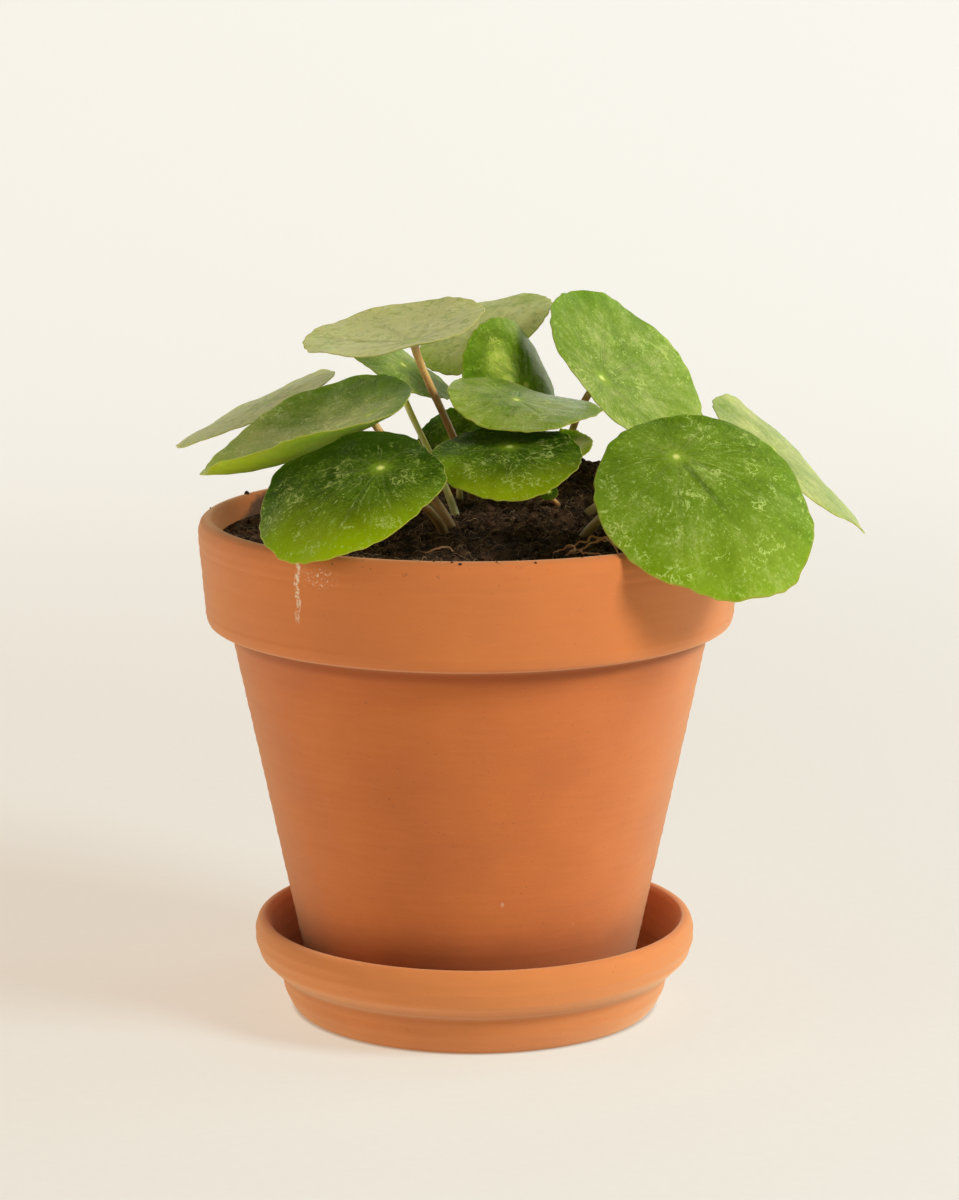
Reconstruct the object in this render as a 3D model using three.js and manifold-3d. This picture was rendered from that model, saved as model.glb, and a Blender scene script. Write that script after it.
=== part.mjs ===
// A pilea in a clay pot that stands in its saucer.
// Millimetres, +Z up. The origin is the centre of the saucer's underside, and the viewer looks along +Y.

import * as THREE from "three";
import { mergeVertices } from "three/addons/utils/BufferGeometryUtils.js";
import Module from "manifold-3d";

const wasm = await Module();
wasm.setup();

// Round clayware, as half outlines of [radius, height]
const TURN_SIDES = 48;
const SEAT_GAP = 0.3;
const SAUCER_FLOOR = 6;
const SAUCER_OUTLINE = [
  [0, 0], [50.3, 0], [51.4, 1.2], [53.4, 5], [54.8, 10.6], [57.4, 12.6], [60.2, 15.4], [61.5, 19.4],
  [61.5, 22.6], [60.9, 24.8], [59.6, 25.9], [58.2, 25.7], [57.3, 24.4], [56.2, 18], [54.6, 11.5],
  [52.4, 7.6], [49.6, SAUCER_FLOOR], [0, SAUCER_FLOOR],
];

const POT_SIDESTEP = -1.2;
const POT_BASE = SAUCER_FLOOR + SEAT_GAP;
const DRAIN_RADIUS = 6;
const POT_FLOOR = 14;
const POT_RIM = 138.9;
const POT_INSIDE = [[68.6, 121], [60.6, 102], [40.8, POT_FLOOR]];
const POT_OUTLINE = [
  [DRAIN_RADIUS, POT_BASE], [43.9, POT_BASE], [45, 7.8], [66.1, 107.6], [67.2, 108.8], [71, 109.2],
  [72.6, 110.4], [73, 113.2], [74.6, 131], [74.9, 135], [74.3, 137.8], [72.8, POT_RIM], [71, POT_RIM],
  [69.9, 137.6], ...POT_INSIDE, [DRAIN_RADIUS, POT_FLOOR],
];

// Soil: a disc that follows the pot's wall, heaped in the middle and higher behind on the right
const SOIL_GAP = 0.4;
const SOIL_EDGE = 133;
const SOIL_SIDE = [[0, POT_FLOOR], ...POT_INSIDE.toReversed(), [69.5, SOIL_EDGE]];
const SOIL_RINGS = [60, 50, 40, 30, 20, 10, 0];
const SOIL_HEAPS = [
  { x: 4, y: 12, spread: 26, height: 4 },
  { x: 38, y: 40, spread: 16, height: 16 },
  { x: -34, y: 30, spread: 20, height: 1.5 },
  { x: 30, y: -40, spread: 16, height: 1.2 },
];
const SOIL_LUMP = 0.5;
const SOIL_LUMP_SIZE = 4.6;
const SOIL_LUMP_SKEW = 19;
const SOIL_FLATTENS = 6;

// Leaf blades, with their rings of points as shares of the way out, and the round stalks that carry them
const BLADE = 0.9;
const BLADE_RINGS = [0.34, 0.62, 0.84, 1];
const CURL_STARTS = 0.5;
const CURL_NARROWS = 1.5;
const WAVE_RISES = 4;
const STALK_SIDES = 8;
const STALK_STEPS = 11;
const STALK_BURIED = 8;
const STALK_TOP_GAP = 0.5;
const STALK_UPRIGHT = 0.6;
const STALK_SHOULDER = 0.4;
const HOLE_GAP = 0.45;
const HOLE_SIDES = 12;
const HOLE_EXTRA = 5;

// Each leaf is a round blade carried from below at one point, a little behind its middle.
//   at       that point, on the blade's top
//   faces    compass direction and lean, in degrees, of the line that stands square on the blade's middle
//   tip      compass direction in which the blade reaches furthest from the point
//   radius   half the blade's length, and width is its breadth as a share of that
//   setback  how far the point lies behind the middle, as a share of the radius
//   fold     how far the two sides droop, and droop how far tip and base do; both are below 0 where they rise
//   curl     [direction, lift]: the margin on one side turns up
//   wave     [count, height, start]: waves along the margin
//   notch    [direction, depth, width]: bays and bulges in the outline, in millimetres and degrees
const LEAVES = {
  front_right: {
    at: [54.5, -42, 161.6], faces: [-72, 45], tip: -55, radius: 30.5, setback: 0.48, width: 0.96,
    fold: 0.19, droop: 0.21, curl: [], wave: [7, 0.6, 20],
    notch: [[-75, -1.4, 14], [-8, 1.1, 14], [45, -1.4, 14], [110, 1.2, 16], [-120, 1.2, 12]],
    sides: 36, root: [31, -14], stalk: 1.35, sweep: 8,
  },
  front_left: {
    at: [-23.2, -54, 160.6], faces: [-122, 34], tip: -152, radius: 25.5, setback: 0.41, width: 0.97,
    fold: 0.09, droop: 0.21, curl: [], wave: [6, 0.5, 70],
    notch: [[100, -2, 12], [66, 1, 12], [180, -1.2, 14], [-150, 0.8, 14], [150, 1, 12]],
    sides: 36, root: [-7, -13], stalk: 1.3, sweep: 7,
  },
  centre: {
    at: [10.7, -26, 161.9], faces: [-94, 19], tip: -94, radius: 20.3, setback: 0.34, width: 0.97,
    fold: -0.03, droop: 0.1, curl: [], wave: [5, 0.4, 0],
    notch: [[180, -1.5, 12], [-148, 1.5, 14], [92, 0.8, 10]],
    sides: 30, root: [11, 22], stalk: 1.25, sweep: 7,
  },
  left_cup: {
    at: [-27.4, -9, 168], faces: [-158, 25], tip: 176, radius: 31, setback: 0.58, width: 0.97,
    fold: -0.16, droop: -0.05, curl: [-73, 6.5], wave: [6, 0.4, 30], notch: [],
    sides: 34, root: [-5, -6], stalk: 1.25, sweep: 8,
  },
  far_left: {
    at: [-58.3, 48, 163.1], faces: [-179, 25], tip: 129, radius: 25.8, setback: 0.3, width: 0.97,
    fold: 0.03, droop: 0.07, curl: [], wave: [5, 0.3, 10], notch: [],
    sides: 28, root: [-10, 15], stalk: 1.2, sweep: 9,
  },
  top_left: {
    at: [-15.2, -12, 188.5], faces: [-145, 13], tip: 110, radius: 26, setback: 0.58, width: 0.97,
    fold: -0.09, droop: -0.06, curl: [], wave: [6, 0.4, 50], notch: [],
    sides: 30, root: [1, 29], stalk: 1.25, sweep: 9,
  },
  shaded: {
    at: [-18.8, 36, 175.6], faces: [-18, 31], tip: -23, radius: 17.6, setback: -0.08, width: 0.97,
    fold: 0.11, droop: 0.04, curl: [], wave: [5, 0.3, 0], notch: [],
    sides: 24, root: [-4, 8], stalk: 1.05, sweep: 7,
  },
  top_back: {
    at: [0.5, 46, 180.7], faces: [-139, 28], tip: 55, radius: 20.9, setback: 0.39, width: 0.97,
    fold: 0.02, droop: 0.13, curl: [], wave: [5, 0.4, 40], notch: [],
    sides: 28, root: [9, 42], stalk: 1.15, sweep: 7,
  },
  young: {
    at: [15.8, 18, 172.3], faces: [-48, 62], tip: 136, radius: 16, setback: 0.33, width: 0.98,
    fold: 0.41, droop: 0.08, curl: [], wave: [4, 0.2, 0], notch: [],
    sides: 24, root: [14, 31], stalk: 1.0, sweep: 6,
  },
  middle: {
    at: [12.8, -8, 172], faces: [-52, 11], tip: -27, radius: 21.4, setback: 0.12, width: 0.97,
    fold: 0.14, droop: -0.07, curl: [], wave: [5, 0.3, 60], notch: [],
    sides: 28, root: [6, 32], stalk: 1.15, sweep: 6,
  },
  top_right: {
    at: [36.7, 14, 174.9], faces: [-32, 48], tip: 66, radius: 28.8, setback: 0.58, width: 0.97,
    fold: 0.03, droop: 0, curl: [], wave: [6, 0.5, 80], notch: [],
    sides: 32, root: [25, 26], stalk: 1.2, sweep: 8,
  },
  far_right: {
    at: [83.1, -4, 157.8], faces: [-7, 41], tip: 30, radius: 28.3, setback: 0.35, width: 0.97,
    fold: 0.01, droop: 0.12, curl: [], wave: [6, 0.4, 15], notch: [],
    sides: 28, root: [33, 10], stalk: 1.25, sweep: 9,
  },
  low_back: {
    at: [-5.4, 34, 154], faces: [-117, 49], tip: 87, radius: 10.2, setback: 0.23, width: 0.97,
    fold: 0.06, droop: 0.14, curl: [], wave: [4, 0.2, 0], notch: [],
    sides: 18, root: [-3, 38], stalk: 0.95, sweep: 4,
  },
  small_cup: {
    at: [26.1, 6, 155.6], faces: [-115, 24], tip: 25, radius: 7, setback: 0.17, width: 0.97,
    fold: -0.12, droop: -0.16, curl: [-100, 2.2], wave: [4, 0.1, 0], notch: [],
    sides: 16, root: [18.5, 21], stalk: 0.95, sweep: 4,
  },
  sprout: {
    at: [21.9, 9, 143.8], faces: [-80, 50], tip: 150, radius: 3.2, setback: 0.2, width: 0.85,
    fold: 0.2, droop: 0.1, curl: [], wave: [3, 0.1, 0], notch: [],
    sides: 12, root: [24.5, 14], stalk: 0.75, sweep: 1.6,
  },
};

const CLAY = { color: 0xc1733f, roughness: 0.85 };
const SOIL = { color: 0x2a1d16, roughness: 1 };
const BLADE_GREEN = { color: 0x5d7f24, roughness: 0.4 };
const STALK_BROWN = { color: 0x8a6a2c, roughness: 0.5 };

const plant = new THREE.Group();

function rad(degrees) {
  return THREE.MathUtils.degToRad(degrees);
}

function addMesh(parent, name, geometry, finish) {
  const mesh = new THREE.Mesh(geometry, new THREE.MeshStandardMaterial({ metalness: 0, ...finish }));
  mesh.name = name;
  parent.add(mesh);
  return mesh;
}

// A turned piece: its half outline spun about the vertical axis
function turned(outline) {
  const points = outline.map(([radius, height]) => new THREE.Vector2(radius, height));
  const closed = points[0].x > 0 ? [...points, points[0].clone()] : points;
  return new THREE.LatheGeometry(closed, TURN_SIDES).rotateX(Math.PI / 2);
}

function toSolid(geometry) {
  const bare = geometry.clone();
  bare.deleteAttribute("normal");
  bare.deleteAttribute("uv");
  const merged = mergeVertices(bare);
  const triangles = [];
  const index = merged.index.array;
  for (let i = 0; i < index.length; i += 3) {
    const [a, b, c] = [index[i], index[i + 1], index[i + 2]];
    if (a !== b && b !== c && c !== a) triangles.push(a, b, c);
  }
  return new wasm.Manifold(new wasm.Mesh({
    numProp: 3,
    vertProperties: new Float32Array(merged.attributes.position.array),
    triVerts: new Uint32Array(triangles),
  }));
}

function fromSolid(solid) {
  const mesh = solid.getMesh();
  const geometry = new THREE.BufferGeometry();
  geometry.setAttribute("position", new THREE.BufferAttribute(new Float32Array(mesh.vertProperties), 3));
  geometry.setIndex([...mesh.triVerts]);
  geometry.computeVertexNormals();
  return geometry;
}

// Soil

function soilHeight(x, y) {
  const reach = Math.min(1, Math.hypot(x, y) / SOIL_SIDE.at(-1)[0]);
  const fade = 1 - reach ** SOIL_FLATTENS;
  let height = SOIL_EDGE;
  for (const heap of SOIL_HEAPS) {
    const away = (x - heap.x) ** 2 + (y - heap.y) ** 2;
    height += fade * heap.height * Math.exp(-away / (2 * heap.spread ** 2));
  }
  const lumps = Math.sin(x / SOIL_LUMP_SIZE) * Math.cos(y / SOIL_LUMP_SIZE + x / SOIL_LUMP_SKEW);
  return height + fade * SOIL_LUMP * lumps;
}

function soilGeometry(holes) {
  const side = SOIL_SIDE.map(([radius, height], i) => [
    Math.max(0, radius - SOIL_GAP),
    i < 2 ? height + SEAT_GAP : height,
  ]);
  const outline = [...side, ...SOIL_RINGS.map((radius) => [radius, SOIL_EDGE])];
  const disc = turned(outline);
  const place = disc.attributes.position;
  for (let i = 0; i < place.count; i += 1) {
    if (place.getZ(i) > SOIL_EDGE - 0.01) place.setZ(i, soilHeight(place.getX(i), place.getY(i)));
  }
  return fromSolid(holes.reduce((soil, hole) => soil.subtract(hole), toSolid(disc)));
}

// Leaves

// The three directions of a blade: across it, towards its tip, and square to it
function bladeFrame(leaf) {
  const [compass, lean] = leaf.faces.map(rad);
  const up = new THREE.Vector3(
    Math.cos(compass) * Math.sin(lean), Math.sin(compass) * Math.sin(lean), Math.cos(lean));
  const tip = new THREE.Vector3(Math.cos(rad(leaf.tip)), Math.sin(rad(leaf.tip)), 0);
  tip.addScaledVector(up, -tip.dot(up)).normalize();
  return { across: new THREE.Vector3().crossVectors(tip, up), tip, up };
}

// How far the outline stands from the blade's middle in one direction, as a share of the radius
function outlineReach(leaf, turn) {
  let reach = 1;
  for (const [direction, depth, width] of leaf.notch) {
    const away = THREE.MathUtils.euclideanModulo(THREE.MathUtils.radToDeg(turn) - direction + 180, 360) - 180;
    reach += (depth / leaf.radius) * Math.exp(-((away / width) ** 2));
  }
  return reach;
}

// A point on the blade's top, at a share of the way out and in a direction counted from the tip
function bladePoint(leaf, share, turn) {
  const reach = share * outlineReach(leaf, turn);
  const across = reach * Math.sin(turn) * leaf.width;
  const along = reach * Math.cos(turn);
  const bend = leaf.fold * across ** 2 + leaf.droop * (along ** 2 - leaf.setback ** 2);
  let lift = -leaf.radius * bend;
  if (leaf.curl.length) {
    const [direction, height] = leaf.curl;
    const facing = Math.max(0, Math.cos(turn - rad(direction))) ** CURL_NARROWS;
    lift += height * facing * Math.max(0, (share - CURL_STARTS) / (1 - CURL_STARTS)) ** 2;
  }
  const [count, height, start] = leaf.wave;
  lift += height * Math.sin(count * turn + rad(start)) * share ** WAVE_RISES;
  return [across * leaf.radius, (along + leaf.setback) * leaf.radius, lift];
}

// Both faces of the blade are split into the same triangles, joined by a narrow edge
function bladeGeometry(leaf) {
  const { sides } = leaf;
  const { across, tip, up } = bladeFrame(leaf);
  const places = [];
  const put = ([x, y, z]) => {
    const point = new THREE.Vector3(...leaf.at)
      .addScaledVector(across, x).addScaledVector(tip, y).addScaledVector(up, z);
    places.push(point.x, point.y, point.z);
  };
  for (const drop of [0, BLADE]) {
    const lower = ([x, y, z]) => [x, y, z - drop];
    put(lower(bladePoint(leaf, 0, 0)));
    for (const share of BLADE_RINGS) {
      for (let i = 0; i < sides; i += 1) put(lower(bladePoint(leaf, share, (2 * Math.PI * i) / sides)));
    }
  }
  const faceSize = 1 + BLADE_RINGS.length * sides;
  const faces = [];
  const addFace = (a, b, c) => {
    faces.push(a, c, b, a + faceSize, b + faceSize, c + faceSize);
  };
  for (let i = 0; i < sides; i += 1) {
    const next = (i + 1) % sides;
    addFace(0, 1 + i, 1 + next);
    for (let ring = 1; ring < BLADE_RINGS.length; ring += 1) {
      const inner = 1 + (ring - 1) * sides;
      const outer = inner + sides;
      addFace(inner + i, outer + i, outer + next);
      addFace(inner + i, outer + next, inner + next);
    }
    const edge = 1 + (BLADE_RINGS.length - 1) * sides;
    faces.push(edge + i, edge + next, edge + next + faceSize);
    faces.push(edge + i, edge + next + faceSize, edge + i + faceSize);
  }
  const geometry = new THREE.BufferGeometry();
  geometry.setAttribute("position", new THREE.Float32BufferAttribute(places, 3));
  geometry.setIndex(faces);
  geometry.computeVertexNormals();
  return geometry;
}

// Stalks

// A stalk's course: straight out of the soil, then one bow that ends square to the blade's underside
function stalkCourse(leaf) {
  const { tip, up } = bladeFrame(leaf);
  const square = up.clone().addScaledVector(tip, -2 * leaf.droop * leaf.setback).normalize();
  const [x, y] = leaf.root;
  const root = new THREE.Vector3(x, y, soilHeight(x, y));
  const top = new THREE.Vector3(...leaf.at).addScaledVector(square, -(BLADE + STALK_TOP_GAP));
  const below = top.clone().addScaledVector(square, -leaf.sweep);
  const rise = below.clone().sub(root);
  const heading = rise.clone().normalize().add(new THREE.Vector3(0, 0, STALK_UPRIGHT)).normalize();
  const shoulder = root.clone().addScaledVector(heading, rise.length() * STALK_SHOULDER);
  const foot = root.clone().addScaledVector(heading, -STALK_BURIED);
  return { foot, root, heading, shoulder, below, top };
}

function roundShape(radius, sides) {
  const shape = new THREE.Shape();
  for (let i = 0; i < sides; i += 1) {
    const turn = (2 * Math.PI * i) / sides;
    const [x, y] = [radius * Math.cos(turn), radius * Math.sin(turn)];
    if (i === 0) shape.moveTo(x, y);
    else shape.lineTo(x, y);
  }
  shape.closePath();
  return shape;
}

function rod(path, radius, sides, steps) {
  const settings = { steps, extrudePath: path, bevelEnabled: false };
  return new THREE.ExtrudeGeometry(roundShape(radius, sides), settings);
}

function stalkGeometry(leaf) {
  const { foot, root, shoulder, below, top } = stalkCourse(leaf);
  const path = new THREE.CurvePath();
  path.add(new THREE.LineCurve3(foot, root));
  path.add(new THREE.CubicBezierCurve3(root, shoulder, below, top));
  return fromSolid(toSolid(rod(path, leaf.stalk, STALK_SIDES, STALK_STEPS)));
}

function stalkHole(leaf) {
  const { foot, root, heading } = stalkCourse(leaf);
  const bottom = foot.clone().addScaledVector(heading, -HOLE_GAP);
  const mouth = root.clone().addScaledVector(heading, HOLE_EXTRA);
  return toSolid(rod(new THREE.LineCurve3(bottom, mouth), leaf.stalk + HOLE_GAP, HOLE_SIDES, 1));
}

// The whole plant, put together

addMesh(plant, "saucer", turned(SAUCER_OUTLINE), CLAY);

const potted = new THREE.Group();
potted.position.x = POT_SIDESTEP;
plant.add(potted);
addMesh(potted, "pot", turned(POT_OUTLINE), CLAY);
addMesh(potted, "soil", soilGeometry(Object.values(LEAVES).map(stalkHole)), SOIL);
for (const [name, leaf] of Object.entries(LEAVES)) {
  addMesh(potted, `leaf_${name}`, bladeGeometry(leaf), BLADE_GREEN);
  addMesh(potted, `stalk_${name}`, stalkGeometry(leaf), STALK_BROWN);
}

export default plant;
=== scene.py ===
import math
import random

import bmesh
import bpy
import numpy as np
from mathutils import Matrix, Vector, noise


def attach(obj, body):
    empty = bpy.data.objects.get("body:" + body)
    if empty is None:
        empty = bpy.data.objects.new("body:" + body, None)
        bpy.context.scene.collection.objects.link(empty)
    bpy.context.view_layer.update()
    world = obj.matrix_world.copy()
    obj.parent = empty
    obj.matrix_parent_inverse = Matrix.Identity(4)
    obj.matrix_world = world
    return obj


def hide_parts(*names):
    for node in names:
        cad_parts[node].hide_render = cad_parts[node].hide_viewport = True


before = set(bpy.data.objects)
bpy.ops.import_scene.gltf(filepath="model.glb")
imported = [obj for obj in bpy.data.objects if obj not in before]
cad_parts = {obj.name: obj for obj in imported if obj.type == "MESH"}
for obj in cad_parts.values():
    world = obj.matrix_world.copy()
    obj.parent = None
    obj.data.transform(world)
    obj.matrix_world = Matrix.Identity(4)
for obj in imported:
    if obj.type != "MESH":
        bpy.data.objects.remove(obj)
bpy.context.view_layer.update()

# The looks of a pilea in a clay pot that stands in its saucer: fine turned clay, crumbly soil with
# roots, mottled blades and their stalks. Sizes are in millimetres and become metres in each mesh.
MM = 0.001
BODY = "root"

# Photo and camera
PHOTO_HEIGHT = 1200
FOCAL_PIXELS = 3800
SENSOR = 36
CAMERA_PLACE = (1.43, -1031.3, 317.4)
CAMERA_PITCH = 0.194

# Clayware, as half outlines of [radius, height]
TURN_SIDES = 224
SAUCER_FLOOR = 6
SAUCER_OUTLINE = [
    [0, 0], [50.3, 0], [51.4, 1.2], [53.4, 5], [54.8, 10.6], [57.4, 12.6], [60.2, 15.4], [61.5, 19.4],
    [61.5, 22.6], [60.9, 24.8], [59.6, 25.9], [58.2, 25.7], [57.3, 24.4], [56.2, 18], [54.6, 11.5],
    [52.4, 7.6], [49.6, SAUCER_FLOOR], [0, SAUCER_FLOOR],
]
POT_SIDESTEP = -1.2
POT_BASE = 6.3
DRAIN_RADIUS = 6
POT_FLOOR = 14
POT_RIM = 138.9
COLLAR_FOOT = 108.8
POT_INSIDE = [[68.6, 121], [60.6, 102], [40.8, POT_FLOOR]]
POT_OUTLINE = [
    [DRAIN_RADIUS, POT_BASE], [43.9, POT_BASE], [45, 7.8], [66.1, 107.6], [67.2, COLLAR_FOOT],
    [71, 109.2], [72.6, 110.4], [73, 113.2], [74.6, 131], [74.9, 135], [74.3, 137.8],
    [72.8, POT_RIM], [71, POT_RIM], [69.9, 137.6], *POT_INSIDE, [DRAIN_RADIUS, POT_FLOOR],
]

# Soil
SOIL_GAP = 0.4
SEAT_GAP = 0.3
SOIL_EDGE = 133
SOIL_RADIUS = 69.5
SOIL_HEAPS = [(4, 12, 26, 4), (38, 40, 16, 16), (-34, 30, 20, 1.5), (30, -40, 16, 1.2)]
SOIL_LUMP = 0.5
SOIL_LUMP_SIZE = 4.6
SOIL_LUMP_SKEW = 19
SOIL_FLATTENS = 6
SOIL_TOP_STEP = 0.7
SOIL_SIDES = 288
SOIL_CLODS = [(6, 0.8, 2), (2.4, 0.75, 5), (1.1, 0.45, 9)]
CRUMBS = 1900
SMALL_CRUMB = 0.8
LARGEST_CRUMB = 2.1
FIBRES = 900
FIBRE_POINTS = 6

# Where on the lip the one large crumb lies, at the back left, in degrees
LIP_CRUMB = 152

# The mineral run below the rim: its place across the front of the collar, its lower end and its splash
RUN_X = -44.9
RUN_END = 119.5
SPLASH = (-39.5, 0, 133)

# Root strands that arch over the soil, as [x, y, height over the soil] counted from the pot's axis
ROOT_RADIUS = 0.26
ROOTS = [
    [(27, -38, -0.5), (30, -36.5, 1.6), (34, -34.5, 2.8), (38, -35.5, 2.4), (41.5, -39, -0.4)],
    [(25, -33, -0.4), (29.5, -30, 1.7), (34.5, -27.5, 3.0), (39, -30, 2.2), (43.5, -37, -0.5)],
    [(31, -24, -0.4), (34, -22.5, 1.4), (37.5, -22, 2.0), (41, -27, 1.2), (42, -31, -0.5)],
    [(22, -38, -0.4), (25, -35.5, 1.4), (28, -38, 1.8), (26.5, -41, 1.0), (23.5, -40, -0.3)],
    [(25, -41.5, -0.4), (28.5, -39.5, 1.4), (31, -42, 1.2), (34.5, -41, 0.8), (37, -43.5, -0.4)],
    [(-14, -30, -0.4), (-10, -32, 0.6), (-6, -31, 0.7), (-3, -34, -0.4)],
]

# Blades and stalks
BLADE = 0.9
BLADE_MIDDLE = 0.75
BLADE_MARGIN = 0.3
CURL_STARTS = 0.5
CURL_NARROWS = 1.5
WAVE_RISES = 4
FULL_RELIEF = 14
NAVEL_DEPTH = 0.2
STALK_TOP_GAP = 0.5
STALK_UPRIGHT = 0.6
STALK_SHOULDER = 0.4
BLADE_LOOKS = ("tone", "mottle", "gloss", "midrib")
BLADE_SIDES = 208
BLADE_SHARES = [*np.linspace(0.02, 0.95, 27).tolist(), 0.967, 0.98, 0.991, 1]
VEINS = [0, 34, 72, 112, 152]
FAR = 99
SCALLOPS = [(12, 0.1), (19, 0.1), (29, 0.12), (37, 0.07)]
STALK_SIDES = 16
STALK_STEPS = 40

# Studio
SHEET_FRONT = -2400
SHEET_BACK = 900
SHEET_SIDE = 2600
SHEET_TOP = 950
SWEEP = 600
SWEEP_STEPS = 24
# The strength of the paper's glow, painted light that lightens the floor's shadows
SHEET_GLOW = 1.0

# Each light's place and size in metres, power in watts and colour, and where all of them aim
KEY_LIGHT = ((1.17, -0.64, 1.0), 0.5, 19.5, (1, 0.98, 0.90))
FILL_LIGHT = ((-1.4, -0.5, 0.6), 1.0, 6.4, (1, 0.84, 0.58))
SIDE_LIGHT = ((1.4, 0.5, 0.8), 0.8, 4.5, (0.95, 1, 0.95))
LIGHTS_AIM = (0, 0, 0.12)

# The world's light: its colours, and the parts of a direction between which it changes
WORLD_BACK = (1.0, 0.97, 0.92)
WORLD_FRONT = (0.22, 0.20, 0.18)
WORLD_ABOVE = (0.10, 0.095, 0.07)
WORLD_BACK_TURNS = (-0.6, 0.5)
WORLD_TURNS = (0.40, 0.66)
WORLD_STRENGTH = 0.95
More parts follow.
